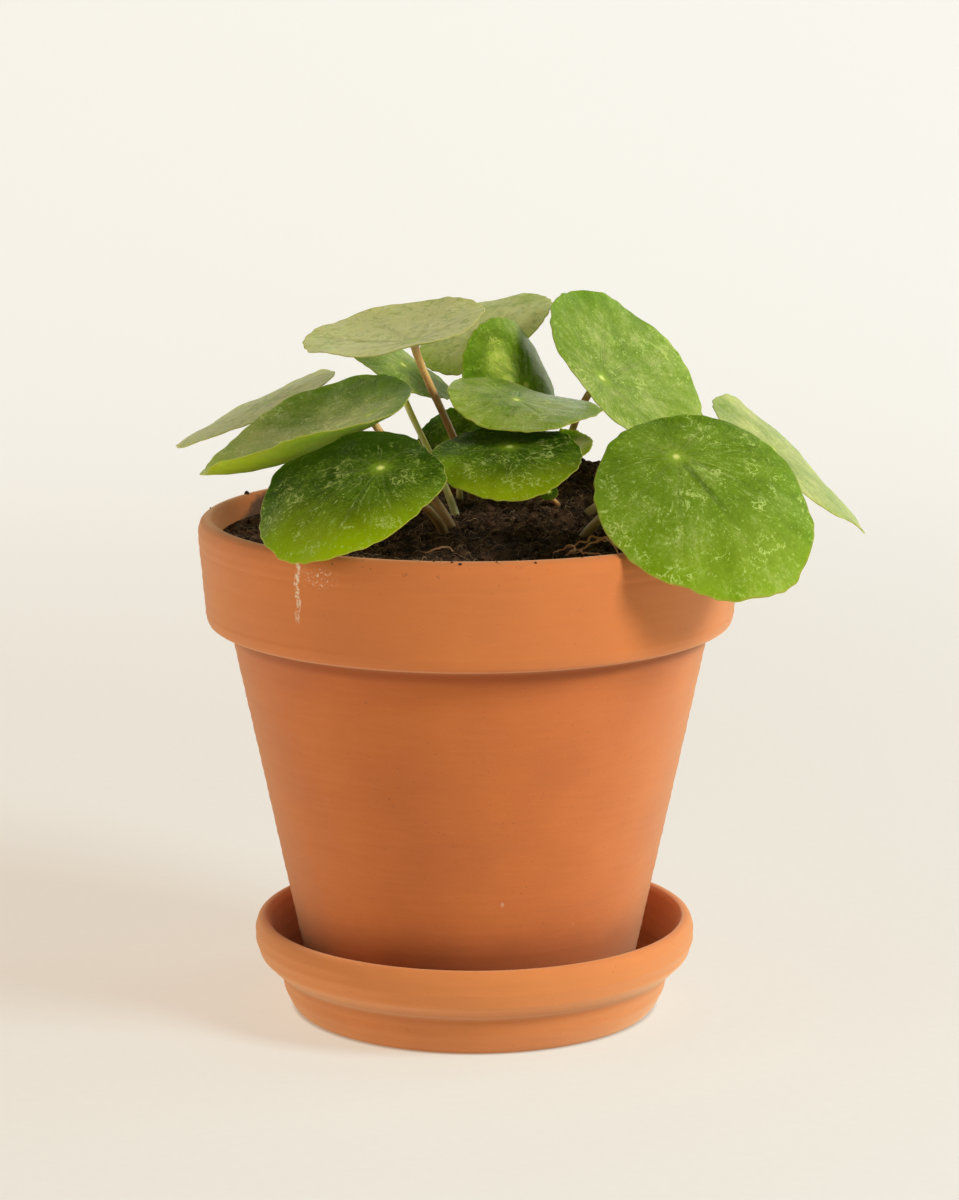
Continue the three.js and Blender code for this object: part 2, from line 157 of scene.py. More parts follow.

# Each leaf's shape is the one of the solid that it stands for, and USUAL_LEAF holds what most share.
# Its looks follow:
#    tone    from 0, deep green, to 1, pale green; partly painted light: pale for a grazing sheen, deep for shade
#   mottle  how strongly silvery flecks show
#    painted_light  [direction, amount]: a lit yellow-green painted on one side, painted shade on the
#        other
#   gloss   from 0, waxy, to 1, wet-looking
#   midrib  how dark the middle vein is
#   brown   the stalk's colour from 0, yellow-green, to 1, red-brown
USUAL_LEAF = dict(width=0.97, curl=None, notch=[], painted_light=(0, 0), gloss=0, midrib=0)
LEAVES = {
    "front_right": dict(
        at=(54.5, -42, 161.6), faces=(-72, 45), tip=-55, radius=30.5, setback=0.48, width=0.96,
        fold=0.19, droop=0.21, wave=(7, 0.6, 20),
        notch=[(-75, -1.4, 14), (-8, 1.1, 14), (45, -1.4, 14), (110, 1.2, 16), (-120, 1.2, 12)],
        root=(31, -14), stalk=1.35, sweep=8,
        tone=0.55, mottle=0.95, painted_light=(35, 0.3), gloss=0.1, midrib=0.9, brown=0.5),
    "front_left": dict(
        at=(-23.2, -54, 160.6), faces=(-122, 34), tip=-152, radius=25.5, setback=0.41,
        fold=0.09, droop=0.21, wave=(6, 0.5, 70),
        notch=[(100, -2, 12), (66, 1, 12), (180, -1.2, 14), (-150, 0.8, 14), (150, 1, 12)],
        root=(-7, -13), stalk=1.3, sweep=7,
        tone=0.22, mottle=0.95, painted_light=(-55, 1.0), gloss=0.1, midrib=0.1, brown=0.75),
    "centre": dict(
        at=(10.7, -26, 161.9), faces=(-94, 19), tip=-94, radius=20.3, setback=0.34,
        fold=-0.03, droop=0.1, wave=(5, 0.4, 0),
        notch=[(180, -1.5, 12), (-148, 1.5, 14), (92, 0.8, 10)],
        root=(11, 22), stalk=1.25, sweep=7,
        tone=0.16, mottle=0.85, painted_light=(0, 0.75), gloss=0.2, brown=0.1),
    "left_cup": dict(
        at=(-27.4, -9, 168), faces=(-158, 25), tip=176, radius=31, setback=0.58,
        fold=-0.16, droop=-0.05, curl=(-73, 6.5), wave=(6, 0.4, 30),
        root=(-5, -6), stalk=1.25, sweep=8,
        tone=0.85, mottle=1.0, painted_light=(-40, 0.8), gloss=0.1, brown=0.8),
    "far_left": dict(
        at=(-58.3, 48, 163.1), faces=(-179, 25), tip=129, radius=25.8, setback=0.3,
        fold=0.03, droop=0.07, wave=(5, 0.3, 10),
        root=(-10, 15), stalk=1.2, sweep=9,
        tone=1.2, mottle=0.6, brown=0.5),
    "top_left": dict(
        at=(-15.2, -12, 188.5), faces=(-145, 13), tip=110, radius=26, setback=0.58,
        fold=-0.09, droop=-0.06, wave=(6, 0.4, 50),
        root=(1, 29), stalk=1.25, sweep=9,
        tone=1.3, mottle=0.9, brown=0.8),
    "shaded": dict(
        at=(-18.8, 36, 175.6), faces=(-18, 31), tip=-23, radius=17.6, setback=-0.08,
        fold=0.11, droop=0.04, wave=(5, 0.3, 0),
        root=(-4, 8), stalk=1.05, sweep=7,
        tone=0.66, mottle=0.8, midrib=0.3, brown=0.0),
    "top_back": dict(
        at=(0.5, 46, 180.7), faces=(-139, 28), tip=55, radius=20.9, setback=0.39,
        fold=0.02, droop=0.13, wave=(5, 0.4, 40),
        root=(9, 42), stalk=1.15, sweep=7,
        tone=1.2, mottle=0.5, painted_light=(-150, 0.45), brown=0.3),
    "young": dict(
        at=(15.8, 18, 172.3), faces=(-48, 62), tip=136, radius=16, setback=0.33, width=0.98,
        fold=0.41, droop=0.08, wave=(4, 0.2, 0),
        root=(14, 31), stalk=1.0, sweep=6,
        tone=0.58, mottle=0.6, painted_light=(130, 0.2), gloss=0.9, brown=0.2),
    "middle": dict(
        at=(12.8, -8, 172), faces=(-52, 11), tip=-27, radius=21.4, setback=0.12,
        fold=0.14, droop=-0.07, wave=(5, 0.3, 60),
        root=(6, 32), stalk=1.15, sweep=6,
        tone=0.66, mottle=0.9, painted_light=(103, 0.25), gloss=0.8, brown=0.4),
    "top_right": dict(
        at=(36.7, 14, 174.9), faces=(-32, 48), tip=66, radius=28.8, setback=0.58,
        fold=0.03, droop=0, wave=(6, 0.5, 80),
        root=(25, 26), stalk=1.2, sweep=8,
        tone=0.65, mottle=0.8, painted_light=(90, 0.2), midrib=0.15, brown=0.7),
    "far_right": dict(
        at=(83.1, -4, 157.8), faces=(-7, 41), tip=30, radius=28.3, setback=0.35,
        fold=0.01, droop=0.12, wave=(6, 0.4, 15),
        root=(33, 10), stalk=1.25, sweep=9,
        tone=0.8, mottle=0.7, brown=0.5),
    "low_back": dict(
        at=(-5.4, 34, 154), faces=(-117, 49), tip=87, radius=10.2, setback=0.23,
        fold=0.06, droop=0.14, wave=(4, 0.2, 0),
        root=(-3, 38), stalk=0.95, sweep=4,
        tone=0.15, mottle=0.35, painted_light=(90, 0.2), gloss=0.2, brown=0.3),
    "small_cup": dict(
        at=(26.1, 6, 155.6), faces=(-115, 24), tip=25, radius=7, setback=0.17,
        fold=-0.12, droop=-0.16, curl=(-100, 2.2), wave=(4, 0.1, 0),
        root=(18.5, 21), stalk=0.95, sweep=4,
        tone=1.2, mottle=0.2, painted_light=(80, 1.0), brown=0.85),
    "sprout": dict(
        at=(21.9, 9, 143.8), faces=(-80, 50), tip=150, radius=3.2, setback=0.2, width=0.85,
        fold=0.2, droop=0.1, wave=(3, 0.1, 0),
        root=(24.5, 14), stalk=0.75, sweep=1.6,
        tone=-0.1, mottle=0.0, gloss=0.2, brown=0.9),
}


# Meshes

def unit(v):
    return v / np.linalg.norm(v)


def unit_rows(rows):
    return rows / np.linalg.norm(rows, axis=1)[:, None]


def smooth(value, low, high):
    """0 below low, 1 above high, and a soft step between."""
    t = np.clip((value - low) / (high - low), 0, 1)
    return t * t * (3 - 2 * t)


def ripple(points, size, seed=0):
    """Smooth noise from about -1 to 1 at each point of an array of [x, y, z] in millimetres."""
    shift = Vector((seed * 17.3, seed * 5.1, seed * 9.7))
    return np.array([noise.noise(Vector(p) / size + shift) for p in points]) * 1.6


def add_piece(name, points, faces, materials, stands_for=(), smooth_shade=True):
    """A mesh from points in millimetres that rides on the plant's one body."""
    mesh = bpy.data.meshes.new(name)
    mesh.from_pydata((np.asarray(points, float) * MM).tolist(), [], faces)
    mesh.update()
    mesh.polygons.foreach_set("use_smooth", [smooth_shade] * len(mesh.polygons))
    piece = bpy.data.objects.new(name, mesh)
    bpy.context.scene.collection.objects.link(piece)
    for material in materials:
        mesh.materials.append(material)
    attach(piece, BODY)
    if stands_for:
        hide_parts(*stands_for)
    return piece


def keep_values(piece, name, values):
    """Stores a vector for each point, which the material reads."""
    layer = piece.data.attributes.new(name, "FLOAT_VECTOR", "POINT")
    layer.data.foreach_set("vector", np.asarray(values, np.float32).ravel())


def ring_faces(rings, sides, closed_rings=False, start=0):
    """Four-sided faces between rings of points that follow each other."""
    faces = []
    for ring in range(rings if closed_rings else rings - 1):
        inner = start + ring * sides
        outer = start + ((ring + 1) % rings) * sides
        for i in range(sides):
            after = (i + 1) % sides
            faces.append((inner + i, inner + after, outer + after, outer + i))
    return faces


def rounded(outline, cut, steps=5):
    """An outline with each corner cut back by up to a given length and turned into a curve."""
    points = [np.array(p, float) for p in outline]
    result = [points[0]]
    for before, corner, after in zip(points, points[1:], points[2:]):
        back, on = before - corner, after - corner
        reach = min(cut, 0.45 * np.linalg.norm(back), 0.45 * np.linalg.norm(on))
        first, last = corner + unit(back) * reach, corner + unit(on) * reach
        for t in np.linspace(0, 1, steps):
            result.append((1 - t) ** 2 * first + 2 * t * (1 - t) * corner + t * t * last)
    result.append(points[-1])
    return result


def evenly(outline, step):
    """The outline with points no further apart than a step."""
    result = [outline[0]]
    for a, b in zip(outline, outline[1:]):
        count = max(1, math.ceil(np.linalg.norm(b - a) / step))
        result += [a + (b - a) * (i + 1) / count for i in range(count)]
    return result


def turned(name, outline, material, ridge, sidestep=0.0, step=0.9, seed=1):
    """Turned clay: the outline spun about the axis, with the faint ridges that fingers leave."""
    closed = outline[0][0] > 0
    profile = evenly(rounded(outline + outline[:1] if closed else outline, 0.9), step)
    if closed:
        profile = profile[:-1]
    rings = [p for p in profile if p[0] > 1e-6]
    angles = np.arange(TURN_SIDES) * 2 * math.pi / TURN_SIDES
    points = []
    for radius, height in rings:
        wobble = np.sin(2 * angles + seed) * 0.05 + np.sin(3 * angles + height / 9) * 0.03
        line = ridge * (math.sin(height * 1.9 + seed) * 0.5 + math.sin(height * 4.3) * 0.3)
        reach = radius + (line + wobble - 0.12) * min(1, radius / 30)
        x, y = reach * np.cos(angles) + sidestep, reach * np.sin(angles)
        points.append(np.stack([x, y, np.full(TURN_SIDES, height)], 1))
    faces = ring_faces(len(rings), TURN_SIDES, closed_rings=closed)
    points = np.concatenate(points)
    if not closed:
        bottom, top = len(points), len(points) + 1
        points = np.concatenate([points, [[sidestep, 0, profile[0][1]], [sidestep, 0, profile[-1][1]]]])
        last = (len(rings) - 1) * TURN_SIDES
        for i in range(TURN_SIDES):
            after = (i + 1) % TURN_SIDES
            faces.append((bottom, after, i))
            faces.append((top, last + i, last + after))
    return add_piece(f"{name}_turned", points, faces, [material], [name])


def tube(course, radii, sides, start=0):
    """Points and faces of a round tube along a course, with flat ends."""
    course = np.asarray(course, float)
    along = np.gradient(course, axis=0)
    along /= np.linalg.norm(along, axis=1)[:, None]
    side = unit(np.cross(along[0], (0.3, 0.9, 0.2)))
    points = []
    for centre, ahead, radius in zip(course, along, radii):
        side = unit(side - ahead * side.dot(ahead))
        other = np.cross(ahead, side)
        for i in range(sides):
            turn = 2 * math.pi * i / sides
            points.append(centre + radius * (math.cos(turn) * side + math.sin(turn) * other))
    faces = ring_faces(len(course), sides, start=start)
    last = start + (len(course) - 1) * sides
    faces.append(tuple(start + i for i in reversed(range(sides))))
    faces.append(tuple(last + i for i in range(sides)))
    return points, faces


# Materials

class Shader:
    """One material, whose nodes are made by short calls. A value is a number, a colour or a socket."""

    def __init__(self, name):
        self.material = bpy.data.materials.new(name)
        self.material.use_nodes = True
        self.tree = self.material.node_tree
        self.tree.nodes.clear()
        self.surface = self.tree.nodes.new("ShaderNodeBsdfPrincipled")
        output = self.tree.nodes.new("ShaderNodeOutputMaterial")
        self.tree.links.new(self.surface.outputs[0], output.inputs[0])

    def feed(self, socket, value):
        if isinstance(value, bpy.types.NodeSocket):
            self.tree.links.new(value, socket)
        elif socket.type == "RGBA" and len(value) == 3:
            socket.default_value = (*value, 1)
        else:
            socket.default_value = value

    def node(self, kind, **settings):
        made = self.tree.nodes.new(kind)
        for key, value in settings.items():
            setattr(made, key, value)
        return made

    def set(self, **values):
        for key, value in values.items():
            self.feed(self.surface.inputs[key.replace("_", " ")], value)

    def millimetres(self, stretch=(1, 1, 1)):
        """The place in the shared frame, in millimetres."""
        source = self.node("ShaderNodeTexCoord").outputs["Object"]
        mapping = self.node("ShaderNodeMapping")
        self.feed(mapping.inputs["Vector"], source)
        mapping.inputs["Scale"].default_value = [s / MM for s in stretch]
        return mapping.outputs[0]

    def stored(self, name):
        return self.node("ShaderNodeAttribute", attribute_name=name).outputs["Vector"]

    def split(self, vector):
        made = self.node("ShaderNodeSeparateXYZ")
        self.feed(made.inputs[0], vector)
        return made.outputs[0], made.outputs[1], made.outputs[2]

    def join(self, x, y, z):
        made = self.node("ShaderNodeCombineXYZ")
        for socket, value in zip(made.inputs, (x, y, z)):
            self.feed(socket, value)
        return made.outputs[0]

    def math(self, operation, *values):
        made = self.node("ShaderNodeMath", operation=operation)
        for socket, value in zip(made.inputs, values):
            self.feed(socket, value)
        return made.outputs[0]

    def plus(self, a, b):
        return self.math("ADD", a, b)

    def minus(self, a, b):
        return self.math("SUBTRACT", a, b)

    def times(self, a, b):
        return self.math("MULTIPLY", a, b)

    def most(self, a, b):
        return self.math("MAXIMUM", a, b)

    def least(self, a, b):
        return self.math("MINIMUM", a, b)

    def size(self, value):
        return self.math("ABSOLUTE", value)

    def vary(self, level, values, amount):
        """A level that goes up and down by up to half an amount as values go from 0 to 1."""
        return self.plus(level, self.times(self.minus(values, 0.5), amount))

    def vector(self, operation, *values):
        made = self.node("ShaderNodeVectorMath", operation=operation)
        for socket, value in zip(made.inputs, values):
            self.feed(socket, value)
        return made.outputs[0]

    def length(self, vector):
        made = self.node("ShaderNodeVectorMath", operation="LENGTH")
        self.feed(made.inputs[0], vector)
        return made.outputs["Value"]

    def noise_vector(self, place, size):
        """A direction that changes from place to place, with parts from -0.5 to 0.5."""
        made = self.node("ShaderNodeTexNoise")
        self.feed(made.inputs["Vector"], place)
        made.inputs["Scale"].default_value = 1 / size
        return self.vector("SUBTRACT", made.outputs["Color"], (0.5, 0.5, 0.5))

    def noise(self, place, size, detail=2.0, rough=0.5):
        """Cloudy noise from 0 to 1 with features about as large as size."""
        made = self.node("ShaderNodeTexNoise")
        self.feed(made.inputs["Vector"], place)
        made.inputs["Scale"].default_value = 1 / size
        made.inputs["Detail"].default_value = detail
        made.inputs["Roughness"].default_value = rough
        return made.outputs[0]

    def spots(self, place, size, low, high):
        """Round dots, 1 at their middles, one in each cell of about a size."""
        made = self.node("ShaderNodeTexVoronoi")
        self.feed(made.inputs["Vector"], place)
        made.inputs["Scale"].default_value = 1 / size
        return self.step(made.outputs["Distance"], high, low)

    def step(self, value, low, high, start=0.0, end=1.0):
        """Goes from start, where value is at low, to end, where it is at high."""
        made = self.node("ShaderNodeMapRange", interpolation_type="SMOOTHSTEP")
        self.feed(made.inputs["Value"], value)
        if low > high:
            low, high, start, end = high, low, end, start
        made.inputs["From Min"].default_value = low
        made.inputs["From Max"].default_value = high
        made.inputs["To Min"].default_value = start
        made.inputs["To Max"].default_value = end
        return made.outputs[0]

    def mix(self, share, first, second):
        made = self.node("ShaderNodeMix", data_type="RGBA")
        self.feed(made.inputs[0], share)
        self.feed(made.inputs[6], first)
        self.feed(made.inputs[7], second)
        return made.outputs[2]

    def bump(self, height, depth):
        """Relief whose full height is a depth in millimetres."""
        made = self.node("ShaderNodeBump")
        made.inputs["Distance"].default_value = depth * MM
        self.feed(made.inputs["Height"], height)
        return made.outputs[0]


# How far light sinks into a blade or a stalk, in millimetres
LIGHT_SINKS = 2

# Colours
CLAY_LIT = (0.67, 0.185, 0.040)
CLAY_DEEP = (0.545, 0.13, 0.024)
# Painted light on the collars of pot and saucer
COLLAR_PAINTED_LIGHT = (0.86, 0.30, 0.085)
SAUCER_LIT = (0.75, 0.26, 0.076)
SAUCER_DEEP = (0.62, 0.19, 0.048)
CLAY_PALE = (0.70, 0.36, 0.19)
CLAY_DAMP = (0.27, 0.085, 0.03)
# Painted shade under the collars
PAINTED_SHADE_CLAY = (0.30, 0.065, 0.012)
MINERAL = (0.86, 0.66, 0.48)
STAIN = (0.075, 0.03, 0.018)
SOIL_DARK = (0.013, 0.007, 0.0035)
SOIL_MID = (0.125, 0.065, 0.033)
SOIL_PALE = (0.32, 0.19, 0.10)
FIBRE_DARK = (0.10, 0.055, 0.028)
FIBRE_PALE = (0.55, 0.36, 0.20)
ROOT_DARK = (1.0, 0.36, 0.15)
ROOT_PALE = (1.0, 0.62, 0.36)
# Greens of a blade's two faces; the last is a lit yellow-green, painted light on one side of a blade
BLADE_TOP = dict(deep=(0.022, 0.062, 0.0003), fresh=(0.17, 0.285, 0.018), pale=(0.60, 0.60, 0.25),
                 painted_light=(0.33, 0.43, 0.002))
BLADE_UNDER = dict(deep=(0.14, 0.23, 0.02), fresh=(0.28, 0.38, 0.04), pale=(0.46, 0.52, 0.15),
                   painted_light=(0.48, 0.55, 0.01))
SILVER = (0.56, 0.66, 0.19)
FROST = (0.76, 0.78, 0.42)
FRECKLE = (0.32, 0.42, 0.04)
HALO = (0.34, 0.50, 0.03)
NAVEL = (0.80, 0.92, 0.24)
MARGIN = (0.34, 0.26, 0.07)
STALK_BROWN = (0.64, 0.37, 0.13)
STALK_GREEN = (0.92, 0.94, 0.32)
STALK_PALE = (0.66, 0.52, 0.24)
STALK_FOOT = (0.11, 0.065, 0.03)
PAPER = (0.26, 0.38, 0.44)
PAPER_SHADE = (0.25, 0.37, 0.43)
# The paper's glow: painted bounce and shade near the pot, far off, and a painted contact shadow
GLOW_NEAR_BOUNCE_SHADE = (0.63, 0.50, 0.395)
GLOW_FAR = (0.765, 0.67, 0.585)
CONTACT_SHADOW_GLOW = (0.22, 0.10, 0.04)


def clay_material(name, centre_x, lit, deep, marks_and_light):
    """Unglazed clay: clouds of tone, turning lines, grit, pits, and the marks of use with some painted
    light and shade.
    """
    s = Shader(name)
    place = s.millimetres()
    x, y, z = s.split(place)
    x = s.minus(x, centre_x)
    banded = s.millimetres(stretch=(0.12, 0.12, 1))
    cloud = s.noise(place, 24, 3)
    band = s.noise(banded, 1.3, 3, 0.6)
    line = s.noise(banded, 0.28, 2, 0.6)
    grain = s.noise(place, 0.35, 2, 0.7)
    tone = s.plus(s.times(cloud, 0.7), s.times(band, 0.25))
    colour = s.mix(s.step(tone, 0.1, 0.85), deep, lit)
    colour = s.mix(s.step(line, 0.55, 0.8, 0, 0.1), colour, CLAY_PALE)
    colour = s.mix(s.step(grain, 0.62, 0.8, 0, 0.3), colour, CLAY_PALE)
    colour = s.mix(s.step(s.noise(place, 0.9, 1), 0.72, 0.8, 0, 0.45), colour, CLAY_DAMP)
    pit = s.times(s.spots(place, 2.6, 0.05, 0.1), s.step(s.noise(place, 7, 1), 0.5, 0.62))
    colour = s.mix(s.times(pit, 0.6), colour, CLAY_DAMP)
    reach = s.length(s.join(x, y, 0.0))
    colour = marks_and_light(s, place, x, y, z, reach, colour)
    relief = s.plus(s.times(line, 0.5), s.times(grain, 0.5))
    relief = s.minus(relief, pit)
    s.set(Base_Color=colour, Roughness=s.step(cloud, 0.3, 0.7, 0.72, 0.9), Normal=s.bump(relief, 0.09))
    s.set(Specular_IOR_Level=0.35, Sheen_Weight=0.5, Sheen_Roughness=0.5, Sheen_Tint=(1, 0.88, 0.6))
    return s.material


def damp_mark(s, place, z, top, fade):
    """How damp the clay is: fully at the bottom, not at all above a ragged line."""
    edge = s.plus(z, s.times(s.noise(place, 9, 2), 10))
    return s.step(edge, top + fade, top, 0, 0.68)


def saucer_marks_and_light(s, place, x, y, z, reach, colour):
    """The inside, where water has stood, is damp and darker; the collar gets painted light, and the
    band under it painted shade.
    """
    inside = s.step(s.minus(reach, s.times(z, 0.42)), 49, 48)
    # Painted light on the saucer's collar, and painted shade in a band under it
    colour = s.mix(s.step(z, 12.5, 16, 0, 0.35), colour, COLLAR_PAINTED_LIGHT)
    colour = s.mix(s.times(s.step(z, 8, 11, 0, 0.3), s.step(z, 14, 12)), colour, PAINTED_SHADE_CLAY)
    return s.mix(s.times(inside, damp_mark(s, place, z, top=14, fade=11)), colour, CLAY_DAMP)


def pot_marks_and_light(s, place, x, y, z, reach, colour):
    """A damp foot, painted shade under the collar and painted light on it, soil stains inside the
    rim, dirt on the lip, and a mineral run at the front left.
    """
    colour = s.mix(damp_mark(s, place, z, top=18, fade=26), colour, CLAY_DAMP)
    from_collar = s.minus(z, COLLAR_FOOT)
    # Painted shade in a band on the body just under the collar
    below = s.plus(s.step(from_collar, -13.8, -1.8, 0, 0.2), s.step(from_collar, -4.6, -2.2, 0, 0.45))
    colour = s.mix(s.times(below, s.step(from_collar, 0.2, -0.4)), colour, PAINTED_SHADE_CLAY)
    # Painted light: the collar is lighter, as where more light falls on it
    colour = s.mix(s.step(from_collar, -0.2, 2.2, 0, 0.3), colour, COLLAR_PAINTED_LIGHT)
    inside = s.times(s.step(reach, 71.6, 69.6), s.step(z, 114, 120))
    dirt = s.plus(z, s.times(s.noise(place, 5, 4, 0.65), 9))
    dirt = s.minus(dirt, s.step(x, -67, -57, 0, 9))
    stain = s.times(inside, s.step(dirt, 137.5, 134, 0, 0.9))
    colour = s.mix(stain, colour, STAIN)
    lip = s.times(s.step(z, 133, 138), s.step(s.noise(place, 1.6, 3, 0.6), 0.62, 0.7, 0, 0.7))
    lip = s.times(lip, s.step(s.noise(place, 14, 1), 0.5, 0.6))
    colour = s.mix(lip, colour, SOIL_MID)
    swayed = s.vary(x, s.noise(s.millimetres(stretch=(0, 0, 1)), 4.4, 3), 3)
    off = s.size(s.minus(swayed, RUN_X))
    ragged = s.step(s.noise(place, 1.0, 3, 0.75), 0.41, 0.54)
    run = s.times(s.step(off, 0.75, 0.45), s.step(z, RUN_END, RUN_END + 2))
    run = s.times(run, ragged)
    from_splash = s.vector("SUBTRACT", s.join(x, 0.0, z), SPLASH)
    away = s.length(s.vector("MULTIPLY", from_splash, (1.0, 1.0, 1.7)))
    splash = s.times(s.step(s.noise(place, 0.7, 3, 0.75), 0.56, 0.64), s.step(away, 6.5, 2))
    white = s.times(s.most(run, splash), s.step(y, -50, -56))
    colour = s.mix(s.times(white, s.step(z, 122, 130, 0.6, 1)), colour, MINERAL)
    chips = s.spots(s.millimetres(stretch=(1, 1, 0.6)), 15, 0.02, 0.045)
    chips = s.times(chips, s.step(s.noise(place, 30, 1), 0.48, 0.56, 0, 0.35))
    return s.mix(chips, colour, MINERAL)


def soil_material():
    """Potting soil: dark clods with paler grains."""
    s = Shader("soil")
    place = s.millimetres()
    clod = s.noise(place, 4, 4, 0.7)
    grain = s.noise(place, 0.6, 3, 0.7)
    colour = s.mix(s.step(clod, 0.36, 0.68), SOIL_DARK, SOIL_MID)
    colour = s.mix(s.step(grain, 0.54, 0.68, 0, 0.6), colour, SOIL_PALE)
    relief = s.bump(s.plus(clod, grain), 0.9)
    s.set(Base_Color=colour, Roughness=0.92, Normal=relief, Specular_IOR_Level=0.2)
    return s.material


def strand_material(name, first, second, roughness):
    """Fine roots and fibres, whose tone changes along them."""
    s = Shader(name)
    place = s.millimetres()
    colour = s.mix(s.step(s.noise(place, 2.2, 3, 0.6), 0.35, 0.65), first, second)
    s.set(Base_Color=colour, Roughness=roughness, Normal=s.bump(s.noise(place, 0.2, 2), 0.03))
    return s.material


def vein_distance(s, x, y, reach):
    """How far a point is from the nearest main vein, in millimetres."""
    turn = s.size(s.math("ARCTAN2", x, y))
    nearest = FAR
    for degrees in VEINS:
        away = s.minus(turn, math.radians(degrees))
        offset = s.size(s.times(reach, s.math("SINE", away)))
        offset = s.plus(offset, s.step(s.math("COSINE", away), 0.2, 0.0, 0, FAR))
        nearest = s.least(nearest, offset)
    return nearest


def blade_material(name, deep, fresh, pale, painted_light, fleck_share, roughness):
    """One face of the blades. blade_place holds [across, towards the tip, seed], in mm from the stalk,
    blade_look [tone, mottle, share of the way to the margin] and blade_light_gloss_rib [painted light
    and shade, gloss, midrib]."""
    s = Shader(name)
    place = s.stored("blade_place")
    x, y, _ = s.split(place)
    tone, mottle, edge = s.split(s.stored("blade_look"))
    painted_side_light, gloss, midrib = s.split(s.stored("blade_light_gloss_rib"))
    reach = s.length(s.join(x, y, 0.0))
    cloud = s.noise(place, 9, 3, 0.55)
    tissue = s.noise(place, 1.3, 3, 0.6)
    speck = s.noise(place, 0.7, 2, 0.7)
    ray_x, ray_y, _ = s.split(s.vector("NORMALIZE", s.join(x, y, 0.0)))
    rays = s.noise(s.join(s.times(ray_x, 22), s.times(ray_y, 22), s.times(reach, 0.12)), 1.6, 3, 0.6)
    beyond = s.step(reach, 1, 3.5)
    # A blade's tone is its own green and also painted light: pale for a grazing sheen, deep for shade
    level = s.vary(s.vary(tone, cloud, 0.7), tissue, 0.3)
    level = s.vary(level, rays, s.times(beyond, 0.4))
    level = s.vary(level, speck, 0.5)
    # Painted shade: the blade darkens towards its shaded side
    level = s.plus(level, s.least(s.times(painted_side_light, 0.6), 0.0))
    colour = s.mix(s.step(level, -0.1, 0.65), deep, fresh)
    colour = s.mix(s.step(level, 0.5, 1.15), colour, pale)
    # Painted light: a lit yellow-green towards the blade's other side
    colour = s.mix(s.times(s.most(painted_side_light, 0.0), s.step(edge, 0.15, 0.95)), colour, painted_light)
    # Freckles fade where the blade is painted in shade
    freckle = s.times(s.step(speck, 0.56, 0.7, 0, 0.4), s.step(painted_side_light, -0.7, 0.1, 0.2, 1))
    colour = s.mix(s.times(freckle, mottle), colour, FRECKLE)
    patch = s.times(s.step(s.noise(place, 2.6, 4, 0.7), 0.5, 0.62), s.step(tone, 0.5, 1.1, 0, 0.4))
    colour = s.mix(patch, colour, fresh)
    vein = vein_distance(s, x, y, reach)
    vein_fade = s.times(s.step(edge, 0.9, 0.2), s.step(rays, 0.3, 0.6, 0.3, 1))
    vein_core = s.times(s.step(vein, 0.35, 0.1), vein_fade)
    vein_side = s.times(s.step(vein, 1.6, 0.3), s.times(vein_fade, 0.22))
    colour = s.mix(vein_side, colour, deep)
    rib = s.times(s.step(s.size(x), 1.7, 0.0, 0, 0.55), s.step(y, 0.3, 4))
    rib = s.times(s.times(rib, s.step(edge, 0.6, 0.25)), midrib)
    colour = s.mix(rib, colour, deep)
    colour = s.mix(s.times(vein_core, 0.1), colour, pale)
    # Silvery flecks: torn threads that gather in clumps, and scattered dots and dashes
    bent = s.vector("ADD", place, s.vector("MULTIPLY", s.noise_vector(place, 2.4), (1.6, 1.6, 0)))
    thread = s.size(s.minus(s.noise(bent, 4.4, 4, 0.62), 0.5))
    clump = s.step(s.noise(place, 8, 2, 0.5), 0.52, 0.62)
    torn = s.times(s.step(thread, 0.027, 0.012), clump)
    torn = s.times(torn, s.step(s.noise(place, 1.6, 2, 0.6), 0.36, 0.46))
    torn = s.times(torn, s.step(tone, 0.1, 0.5, 0.75, 1))
    dash_place = s.join(s.times(ray_x, 26), s.times(ray_y, 26), s.times(reach, 0.45))
    dash = s.step(s.noise(dash_place, 0.8, 2, 0.6), 0.62, 0.68)
    dash = s.times(dash, s.step(s.noise(place, 2.6, 2), 0.44, 0.6))
    dots = s.times(s.spots(bent, 0.9, 0.15, 0.28), s.step(s.noise(place, 3.6, 2), 0.5, 0.62))
    smear = s.step(s.noise(dash_place, 2.6, 4, 0.7), 0.59, 0.65)
    smear = s.times(smear, s.step(edge, 0.9, 0.5, 0, 0.45))
    fleck = s.most(torn, s.times(s.most(dash, dots), 0.9))
    fleck = s.times(s.most(fleck, smear), mottle)
    fleck = s.times(fleck, s.step(reach, 2, 8))
    # Flecks fade where the blade is painted in shade
    fleck = s.times(fleck, s.step(painted_side_light, -0.8, 0, 0.25, 1))
    fleck_colour = s.mix(s.step(tone, 0.6, 1.1), SILVER, FROST)
    colour = s.mix(s.times(fleck, fleck_share), colour, fleck_colour)
